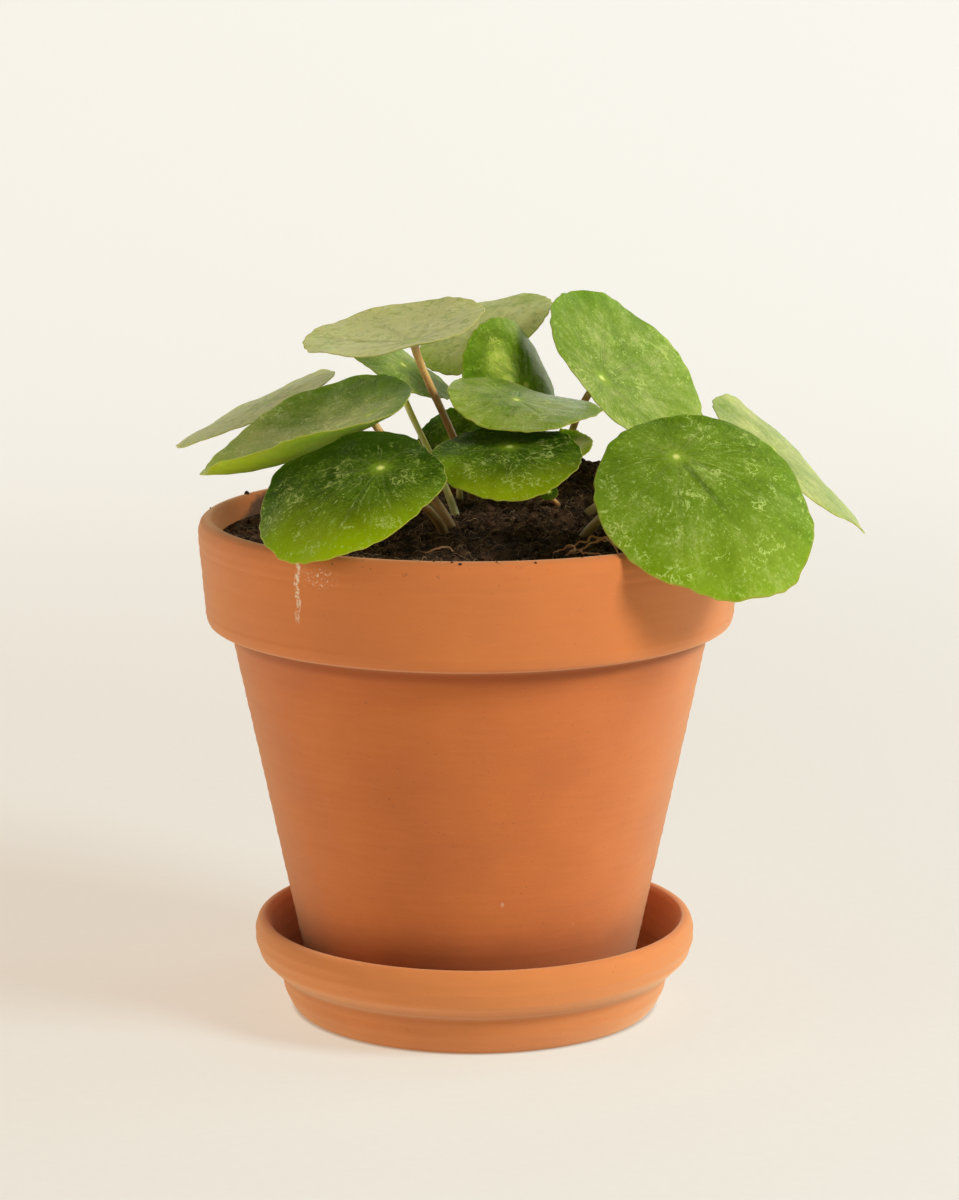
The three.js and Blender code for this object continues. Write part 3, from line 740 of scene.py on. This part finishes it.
    # The pale spot over the stalk, and the thin pale margin
    middle = s.vary(reach, rays, 3)
    halo = s.times(s.step(middle, 4.6, 0.8, 0, 0.5), s.step(edge, 0.5, 0.2))
    colour = s.mix(halo, colour, HALO)
    navel = s.times(s.step(middle, 1.3, 0.5), s.step(edge, 0.25, 0.1))
    navel = s.times(navel, s.step(tone, 0.7, 0.9, 0.95, 0.35))
    colour = s.mix(navel, colour, NAVEL)
    colour = s.mix(s.step(edge, 0.988, 0.998, 0, 0.5), colour, MARGIN)
    relief = s.plus(s.times(tissue, 0.6), s.times(speck, 0.25))
    relief = s.plus(relief, s.times(fleck, 0.15))
    relief = s.minus(relief, s.times(s.times(vein_core, beyond), 0.3))
    rough = s.step(cloud, 0.3, 0.7, roughness - 0.05, roughness + 0.07)
    rough = s.plus(rough, s.times(fleck, 0.15))
    rough = s.minus(rough, s.times(gloss, 0.2))
    shine = s.minus(s.step(gloss, 0, 1, 0.16, 0.4), s.times(fleck, 0.08))
    s.set(Base_Color=colour, Roughness=rough, Specular_IOR_Level=shine, Normal=s.bump(relief, 0.18))
    s.set(Specular_Tint=(0.95, 1, 0.15), Subsurface_Weight=0.75, Subsurface_Radius=(0.6, 1.0, 0.1),
          Subsurface_Scale=LIGHT_SINKS * MM)
    return s.material


def stalk_material():
    """stalk_look holds [share of the way up, how brown, 0]."""
    s = Shader("stalk")
    rise, brown, _ = s.split(s.stored("stalk_look"))
    place = s.millimetres(stretch=(1, 1, 0.15))
    streak = s.noise(place, 0.5, 3, 0.6)
    cloud = s.noise(s.millimetres(), 5, 2)
    level = s.vary(s.vary(brown, cloud, 0.6), streak, 0.4)
    colour = s.mix(s.step(level, 0, 1), STALK_GREEN, STALK_BROWN)
    colour = s.mix(s.step(rise, 0.3, 0.02, 0, 0.75), colour, STALK_FOOT)
    colour = s.mix(s.step(streak, 0.6, 0.8, 0, 0.3), colour, STALK_PALE)
    s.set(Base_Color=colour, Roughness=0.42, Normal=s.bump(streak, 0.06))
    s.set(Subsurface_Weight=0.4, Subsurface_Scale=LIGHT_SINKS * MM)
    return s.material


def stage_material():
    """Pale paper that glows a little as painted light: warmer and dimmer near the pot as painted bounce
    and shade, and dimmer still where the saucer stands on it, as a painted contact shadow.
    """
    s = Shader("studio_paper")
    grain = s.noise(s.millimetres(), 3, 2)
    away = s.step(s.length(s.millimetres()), 150, 1300)
    # Painted bounce and shade: the glow is warmer and dimmer near the pot
    painted_light = s.mix(away, GLOW_NEAR_BOUNCE_SHADE, GLOW_FAR)
    # Painted contact shadow: the glow fades where the saucer stands
    painted_light = s.mix(s.step(s.length(s.millimetres()), 52, 50.3, 0, 0.65), painted_light, CONTACT_SHADOW_GLOW)
    paper = s.mix(s.step(grain, 0.3, 0.7), PAPER, PAPER_SHADE)
    s.set(Base_Color=paper, Roughness=0.9, Specular_IOR_Level=0.1)
    s.set(Emission_Color=painted_light, Emission_Strength=SHEET_GLOW)
    return s.material


# Soil

def soil_height(x, y):
    """The height of the soil's solid, for arrays of places counted from the pot's axis."""
    fade = 1 - np.minimum(1, np.hypot(x, y) / SOIL_RADIUS) ** SOIL_FLATTENS
    height = SOIL_EDGE + np.zeros_like(x)
    for heap_x, heap_y, spread, rise in SOIL_HEAPS:
        height += fade * rise * np.exp(-((x - heap_x) ** 2 + (y - heap_y) ** 2) / (2 * spread**2))
    lumps = np.sin(x / SOIL_LUMP_SIZE) * np.cos(y / SOIL_LUMP_SIZE + x / SOIL_LUMP_SKEW)
    return height + fade * SOIL_LUMP * lumps


def soil_surface(x, y):
    """The height with its clods, which fade out where the soil meets the pot."""
    flat = np.stack([x, y, np.zeros_like(x)], 1)
    clods = sum(depth * ripple(flat, size, seed) for size, depth, seed in SOIL_CLODS)
    return soil_height(x, y) + clods * smooth(SOIL_RADIUS - np.hypot(x, y), 0, 2.5)


def add_soil(material):
    """The whole bed of soil, down to the pot's floor."""
    radii = np.linspace(SOIL_TOP_STEP, SOIL_RADIUS - SOIL_GAP, round(SOIL_RADIUS / SOIL_TOP_STEP))
    angles = np.arange(SOIL_SIDES) * 2 * math.pi / SOIL_SIDES
    points = []
    for radius in radii:
        x, y = radius * np.cos(angles), radius * np.sin(angles)
        points.append(np.stack([x, y, soil_surface(x, y)], 1))
    for radius, height in POT_INSIDE + [[20, POT_FLOOR]]:
        height += SEAT_GAP if height == POT_FLOOR else 0
        ring = np.stack([np.cos(angles), np.sin(angles)], 1) * (radius - SOIL_GAP)
        points.append(np.column_stack([ring, np.full(SOIL_SIDES, height)]))
    rings = len(points)
    points = np.concatenate(points)
    faces = [face[::-1] for face in ring_faces(rings, SOIL_SIDES)]
    top = soil_surface(np.zeros(1), np.zeros(1))[0]
    points = np.concatenate([points, [[0, 0, top], [0, 0, POT_FLOOR + SEAT_GAP]]])
    last = (rings - 1) * SOIL_SIDES
    for i in range(SOIL_SIDES):
        after = (i + 1) % SOIL_SIDES
        faces.append((len(points) - 2, i, after))
        faces.append((len(points) - 1, last + after, last + i))
    points[:, 0] += POT_SIDESTEP
    return add_piece("soil_bed", points, faces, [material], ["soil"])


def ball(cuts):
    """The points and three-sided faces of a round ball."""
    shape = bmesh.new()
    bmesh.ops.create_icosphere(shape, subdivisions=cuts, radius=1)
    points = np.array([v.co for v in shape.verts])
    faces = [tuple(v.index for v in face.verts) for face in shape.faces]
    shape.free()
    return points, faces


def add_crumbs(name, places, material, rng):
    """Crumbs of soil as one piece. Each place is (x, y, z, size), with the crumb's foot at z."""
    small, large = ball(1), ball(2)
    points, faces = [], []
    for x, y, z, size in places:
        shape, sides = large if size > SMALL_CRUMB else small
        squash = (rng.uniform(0.6, 1.1), rng.uniform(0.6, 1.1), rng.uniform(0.45, 0.9))
        lumps = np.array([1 + rng.uniform(-0.24, 0.24) for _ in shape])
        grown = shape * lumps[:, None] * squash * size
        turn = rng.uniform(0, 2 * math.pi)
        spin = np.array([[math.cos(turn), math.sin(turn)], [-math.sin(turn), math.cos(turn)]])
        grown[:, :2] = grown[:, :2] @ spin
        faces += [tuple(len(points) + i for i in side) for side in sides]
        points += list(grown + (x + POT_SIDESTEP, y, z + size * 0.3))
    return add_piece(name, points, faces, [material], smooth_shade=False)


def soil_crumbs(rng):
    """Where the crumbs lie: all over the soil, more of them and larger ones on the heap behind."""
    places = []
    for _ in range(CRUMBS):
        reach, turn = (SOIL_RADIUS - 2.5) * math.sqrt(rng.random()), rng.uniform(0, 2 * math.pi)
        places.append((reach * math.cos(turn), reach * math.sin(turn), rng.lognormvariate(-0.75, 0.45)))
    heap_x, heap_y, spread, _ = SOIL_HEAPS[1]
    for _ in range(CRUMBS // 6):
        x, y = rng.gauss(heap_x, spread * 0.7), rng.gauss(heap_y, spread * 0.6)
        if math.hypot(x, y) < SOIL_RADIUS - 3:
            places.append((x, y, rng.lognormvariate(-0.25, 0.4)))
    places = [(x, y, min(size, LARGEST_CRUMB)) for x, y, size in places]
    heights = soil_surface(np.array([p[0] for p in places]), np.array([p[1] for p in places]))
    return [(x, y, z, size) for (x, y, size), z in zip(places, heights)]


def rim_crumbs(rng):
    """A few crumbs that were spilt on the pot's lip, mostly at the front."""
    places = []
    for degrees, spread, count in [(-100, 8, 6), (-75, 12, 4), (-20, 25, 3), (80, 40, 7)]:
        for _ in range(count):
            turn = math.radians(rng.gauss(degrees, spread))
            reach = rng.uniform(71.4, 73.4)
            top = POT_RIM if reach < 72.8 else POT_RIM - 0.3
            size = rng.uniform(0.2, 0.6)
            foot = top - 0.25 * size - 0.12
            places.append((reach * math.cos(turn), reach * math.sin(turn), foot, size))
    turn = math.radians(LIP_CRUMB)
    places.append((71.9 * math.cos(turn), 71.9 * math.sin(turn), POT_RIM - 0.3, 1.0))
    return places


def curved(points, steps):
    """A smooth curve through points."""
    points = np.array(points, float)
    padded = np.concatenate([[2 * points[0] - points[1]], points, [2 * points[-1] - points[-2]]])
    result = []
    for a, b, c, d in zip(padded, padded[1:], padded[2:], padded[3:]):
        for t in np.arange(steps) / steps:
            result.append(0.5 * (2 * b + (c - a) * t + (2 * a - 5 * b + 4 * c - d) * t**2
                                 + (3 * b - a - 3 * c + d) * t**3))
    result.append(padded[-2])
    return np.array(result)


def add_strands(name, courses, radii, sides, material):
    """Thin tapered tubes along their courses, as one piece."""
    points, faces = [], []
    for course, radius in zip(courses, radii):
        taper = radius * (0.55 + 0.45 * np.sin(np.linspace(0.25, math.pi - 0.25, len(course))))
        made, sewn = tube(course, taper, sides, start=len(points))
        points += made
        faces += sewn
    return add_piece(name, points, faces, [material])


def on_soil(points):
    """Turns points of [x, y, height over the soil] into places in the shared frame."""
    points = np.asarray(points, float)
    ground = soil_surface(points[:, 0], points[:, 1])
    return np.column_stack([points[:, 0] + POT_SIDESTEP, points[:, 1], ground + points[:, 2]])


def fibre_courses(rng):
    """Short arches that start all over the soil and turn a little at each point."""
    courses = []
    for _ in range(FIBRES):
        reach, turn = (SOIL_RADIUS - 5) * math.sqrt(rng.random()), rng.uniform(0, 2 * math.pi)
        x, y = reach * math.cos(turn), reach * math.sin(turn)
        heading, stride = rng.uniform(0, 2 * math.pi), rng.uniform(0.4, 1.5)
        arch = rng.uniform(0.1, 1.3)
        course = []
        for i in range(FIBRE_POINTS):
            rise = arch * math.sin(math.pi * i / (FIBRE_POINTS - 1))
            course.append((x, y, rise - 0.05))
            heading += rng.gauss(0, 0.55)
            x += stride * math.cos(heading)
            y += stride * math.sin(heading)
        courses.append(on_soil(course))
    return courses


# Leaves

def blade_frame(leaf):
    """The three directions of a blade: across it, towards its tip, and square to it."""
    compass, lean = (math.radians(value) for value in leaf["faces"])
    outward = math.sin(lean)
    up = np.array([math.cos(compass) * outward, math.sin(compass) * outward, math.cos(lean)])
    heading = math.radians(leaf["tip"])
    tip = np.array([math.cos(heading), math.sin(heading), 0])
    tip = unit(tip - up * tip.dot(up))
    return np.cross(tip, up), tip, up


def outline_reach(leaf, turn):
    """How far the solid's outline stands from the blade's middle, as a share of the radius."""
    reach = np.ones_like(turn)
    for direction, depth, width in leaf["notch"]:
        away = (np.degrees(turn) - direction + 180) % 360 - 180
        reach += depth / leaf["radius"] * np.exp(-((away / width) ** 2))
    return reach


def blade_lift(leaf, across, along):
    """The solid's height over the plane that touches it at the stalk, at shares of the radius."""
    turn = np.arctan2(across / leaf["width"], along)
    share = np.hypot(across / leaf["width"], along) / outline_reach(leaf, turn)
    hang = leaf["fold"] * across**2 + leaf["droop"] * (along**2 - leaf["setback"] ** 2)
    lift = -leaf["radius"] * hang
    if leaf["curl"]:
        direction, height = leaf["curl"]
        facing = np.maximum(0, np.cos(turn - math.radians(direction))) ** CURL_NARROWS
        lift += height * facing * np.maximum(0, (share - CURL_STARTS) / (1 - CURL_STARTS)) ** 2
    count, height, start = leaf["wave"]
    return lift + height * np.sin(count * turn + math.radians(start)) * share**WAVE_RISES


def vein_groove(x, y, edge):
    """How deep the main veins press into a blade, in millimetres."""
    turn, reach = np.abs(np.arctan2(x, y)), np.hypot(x, y)
    groove = np.zeros_like(x)
    for degrees in VEINS:
        away = turn - math.radians(degrees)
        beside = np.where(np.cos(away) > 0, np.abs(reach * np.sin(away)), FAR)
        groove = np.maximum(groove, np.exp(-((beside / 0.9) ** 2)))
    return 0.07 * groove * smooth(reach, 0.5, 4) * (1 - smooth(edge, 0.45, 0.85))


def relief_share(leaf):
    """How much of the usual relief a blade has: all of it at a radius of FULL_RELIEF or more."""
    return min(1, leaf["radius"] / FULL_RELIEF)


def blade_face(leaf, seed, edge):
    """One row of points of the blade's top for each share of the way from the stalk to the margin."""
    turn = np.arange(BLADE_SIDES) * 2 * math.pi / BLADE_SIDES
    scallop = sum(depth * np.sin(count * turn + seed * count) for count, depth in SCALLOPS)
    reach = outline_reach(leaf, turn) + (scallop - 0.1) / leaf["radius"] * min(1, leaf["radius"] / 12)
    rim_x, rim_y = reach * np.sin(turn) * leaf["width"], reach * np.cos(turn) + leaf["setback"]
    rows = []
    for share in edge:
        x, y = rim_x * share, rim_y * share
        lift = blade_lift(leaf, x, y - leaf["setback"])
        x, y = x * leaf["radius"], y * leaf["radius"]
        flat = np.stack([x, y, np.full_like(x, seed * 40.0)], 1)
        detail = 0.3 * ripple(flat, 9) * share + 0.1 * ripple(flat, 3.2)
        detail += 0.12 * np.sin(9 * turn + seed) * smooth(share, 0.8, 1)
        detail -= vein_groove(x, y, share) + NAVEL_DEPTH * np.exp(-((np.hypot(x, y) / 1.5) ** 2))
        rows.append(np.stack([x, y, lift + detail * relief_share(leaf)], 1))
    return rows


def add_leaf(name, leaf, seed, materials):
    """A closed blade, with the values that its materials read."""
    edge = np.array(BLADE_SHARES)
    across, tip, up = blade_frame(leaf)
    rows = blade_face(leaf, seed, edge)
    thick = [BLADE_MIDDLE + (BLADE_MARGIN - BLADE_MIDDLE) * share**6 for share in edge]
    centre = np.array([[0, 0, -NAVEL_DEPTH * relief_share(leaf)]])
    lower = [row - (0, 0, depth) for row, depth in zip(rows, thick)]
    rim = (rows[-1] + lower[-1]) / 2 + unit_rows(rows[-1] - rows[-3]) * 0.12
    flat = np.concatenate([centre, *rows, rim, *lower[::-1], centre - (0, 0, BLADE_MIDDLE)])
    flat[:, 2] -= 0.05
    points = np.array(leaf["at"]) + flat[:, :1] * across + flat[:, 1:2] * tip + flat[:, 2:] * up
    points[:, 0] += POT_SIDESTEP
    rings = 2 * len(edge) + 1
    faces = [(0, (i + 1) % BLADE_SIDES + 1, i + 1) for i in range(BLADE_SIDES)]
    faces += ring_faces(rings, BLADE_SIDES, start=1)
    last = 1 + (rings - 1) * BLADE_SIDES
    faces += [(last + i, last + (i + 1) % BLADE_SIDES, len(points) - 1) for i in range(BLADE_SIDES)]
    blade = add_piece(f"blade_{name}", points, faces, materials, [f"leaf_{name}"])
    under = 1 + (len(edge) + 1) * BLADE_SIDES
    for polygon in blade.data.polygons:
        polygon.material_index = int(min(polygon.vertices) >= under - BLADE_SIDES)
    shares = np.concatenate([[0], np.repeat([*edge, 1, *edge[::-1]], BLADE_SIDES), [0]])
    places = np.column_stack([flat[:, 0], flat[:, 1], np.full(len(flat), seed * 31.0)])
    keep_values(blade, "blade_place", places)
    tone, mottle, gloss, midrib = (np.full(len(flat), leaf[key]) for key in BLADE_LOOKS)
    keep_values(blade, "blade_look", np.column_stack([tone, mottle, shares]))
    # Painted light and shade, from plus on the blade's lit side to minus on its shaded side
    direction, amount = leaf["painted_light"]
    turn = np.arctan2(flat[:, 0], flat[:, 1] - leaf["setback"] * leaf["radius"])
    painted_side_light = amount * np.cos(turn - math.radians(direction)) * smooth(shares, 0.1, 1)
    keep_values(blade, "blade_light_gloss_rib", np.column_stack([painted_side_light, gloss, midrib]))


def add_stalk(name, leaf, seed, material):
    """A stalk along its solid's course, a little thicker at its foot and flared under the blade."""
    _, tip, up = blade_frame(leaf)
    square = unit(up - 2 * leaf["droop"] * leaf["setback"] * tip)
    x, y = leaf["root"]
    root = np.array([x, y, soil_height(np.array([float(x)]), np.array([float(y)]))[0]])
    top = np.array(leaf["at"]) - square * (BLADE + STALK_TOP_GAP)
    below = top - square * leaf["sweep"]
    rise = below - root
    heading = unit(unit(rise) + (0, 0, STALK_UPRIGHT))
    shoulder = root + heading * np.linalg.norm(rise) * STALK_SHOULDER
    t = np.linspace(0, 1, STALK_STEPS)[:, None]
    bow = (1 - t) ** 3 * root + 3 * t * (1 - t) ** 2 * shoulder
    bow += 3 * t**2 * (1 - t) * below + t**3 * top
    course = np.concatenate([[root - heading * 4, root - heading * 2], bow, [top + square * 0.5]])
    share = np.linspace(0, 1, len(course))
    width = leaf["stalk"] * (0.86 + 0.24 * (1 - smooth(share, 0, 0.3)) + 0.2 * smooth(share, 0.93, 1))
    width *= 1 + 0.03 * np.sin(share * 23 + seed)
    points, faces = tube(course, width, STALK_SIDES)
    points = np.array(points) + (POT_SIDESTEP, 0, 0)
    stalk = add_piece(f"stem_{name}", points, faces, [material], [f"stalk_{name}"])
    values = np.repeat(share, STALK_SIDES)
    keep_values(stalk, "stalk_look", np.column_stack([values, 0 * values + leaf["brown"], 0 * values]))


# Studio

def add_stage():
    """A pale sheet that lies flat and sweeps up behind the object."""
    points, faces = [], []
    profile = [(SHEET_FRONT, 0), (SHEET_BACK, 0)]
    for i in range(1, SWEEP_STEPS + 1):
        turn = math.pi / 2 * i / SWEEP_STEPS
        profile.append((SHEET_BACK + SWEEP * math.sin(turn), SWEEP * (1 - math.cos(turn))))
    profile.append((SHEET_BACK + SWEEP, SHEET_TOP))
    for y, z in profile:
        points += [(-SHEET_SIDE, y, z), (SHEET_SIDE, y, z)]
    for i in range(len(profile) - 1):
        faces.append((2 * i, 2 * i + 1, 2 * i + 3, 2 * i + 2))
    mesh = bpy.data.meshes.new("sheet")
    mesh.from_pydata((np.array(points) * MM).tolist(), [], faces)
    mesh.polygons.foreach_set("use_smooth", [True] * len(faces))
    sheet = bpy.data.objects.new("sheet", mesh)
    mesh.materials.append(stage_material())
    bpy.context.scene.collection.objects.link(sheet)


def add_light(name, place, size, power, colour):
    lamp = bpy.data.lights.new(name, "AREA")
    lamp.size = size
    lamp.energy = power
    lamp.color = colour
    light = bpy.data.objects.new(name, lamp)
    light.location = place
    light.rotation_euler = (Vector(LIGHTS_AIM) - Vector(place)).to_track_quat("-Z", "Y").to_euler()
    bpy.context.scene.collection.objects.link(light)


def add_world():
    """Soft light from all sides, dimmer in front and overhead."""
    world = bpy.data.worlds.new("studio")
    world.use_nodes = True
    bpy.context.scene.world = world
    tree = world.node_tree
    back = tree.nodes["Background"]
    direction = tree.nodes.new("ShaderNodeTexCoord").outputs["Generated"]
    parts = tree.nodes.new("ShaderNodeSeparateXYZ")
    tree.links.new(direction, parts.inputs[0])
    colour = (*WORLD_FRONT, 1)
    for axis, turns, further in [(1, WORLD_BACK_TURNS, WORLD_BACK), (2, WORLD_TURNS, WORLD_ABOVE)]:
        share = tree.nodes.new("ShaderNodeMapRange")
        share.interpolation_type = "SMOOTHSTEP"
        share.inputs["From Min"].default_value, share.inputs["From Max"].default_value = turns
        tree.links.new(parts.outputs[axis], share.inputs["Value"])
        blend = tree.nodes.new("ShaderNodeMix")
        blend.data_type = "RGBA"
        tree.links.new(share.outputs[0], blend.inputs[0])
        if isinstance(colour, tuple):
            blend.inputs[6].default_value = colour
        else:
            tree.links.new(colour, blend.inputs[6])
        blend.inputs[7].default_value = (*further, 1)
        colour = blend.outputs[2]
    tree.links.new(colour, back.inputs["Color"])
    back.inputs["Strength"].default_value = WORLD_STRENGTH


def add_camera():
    data = bpy.data.cameras.new("camera")
    data.sensor_width = SENSOR
    data.lens = FOCAL_PIXELS * SENSOR / PHOTO_HEIGHT
    data.clip_end = 20
    camera = bpy.data.objects.new("camera", data)
    camera.location = [value * MM for value in CAMERA_PLACE]
    camera.rotation_euler = (math.pi / 2 - CAMERA_PITCH, 0, 0)
    bpy.context.scene.collection.objects.link(camera)
    bpy.context.scene.camera = camera


# The whole plant

saucer_clay = clay_material("saucer_clay", 0, SAUCER_LIT, SAUCER_DEEP, saucer_marks_and_light)
pot_clay = clay_material("pot_clay", POT_SIDESTEP, CLAY_LIT, CLAY_DEEP, pot_marks_and_light)
turned("saucer", SAUCER_OUTLINE, saucer_clay, ridge=0.1, seed=3)
turned("pot", POT_OUTLINE, pot_clay, ridge=0.12, sidestep=POT_SIDESTEP, step=1.3)

rng = random.Random(7)
soil = soil_material()
add_soil(soil)
add_crumbs("soil_crumbs", soil_crumbs(rng), soil, rng)
add_crumbs("rim_crumbs", rim_crumbs(rng), soil, rng)
fibres = strand_material("fibre", FIBRE_DARK, FIBRE_PALE, 0.8)
courses = fibre_courses(rng)
add_strands("soil_fibres", courses, [rng.uniform(0.05, 0.1) for _ in courses], 3, fibres)
roots = strand_material("root", ROOT_DARK, ROOT_PALE, 0.6)
add_strands("roots", [on_soil(curved(root, 7)) for root in ROOTS], [ROOT_RADIUS] * len(ROOTS), 8, roots)

blade_faces = [
    blade_material("blade_top", **BLADE_TOP, fleck_share=0.8, roughness=0.46),
    blade_material("blade_under", **BLADE_UNDER, fleck_share=0.3, roughness=0.5),
]
stalk = stalk_material()
for seed, (name, own) in enumerate(LEAVES.items(), 1):
    leaf = {**USUAL_LEAF, **own}
    add_leaf(name, leaf, seed, blade_faces)
    add_stalk(name, leaf, seed, stalk)

add_stage()
for name, light in [("key", KEY_LIGHT), ("fill", FILL_LIGHT), ("side", SIDE_LIGHT)]:
    add_light(name, *light)
add_world()
add_camera()
bpy.context.scene.view_settings.view_transform = "Standard"
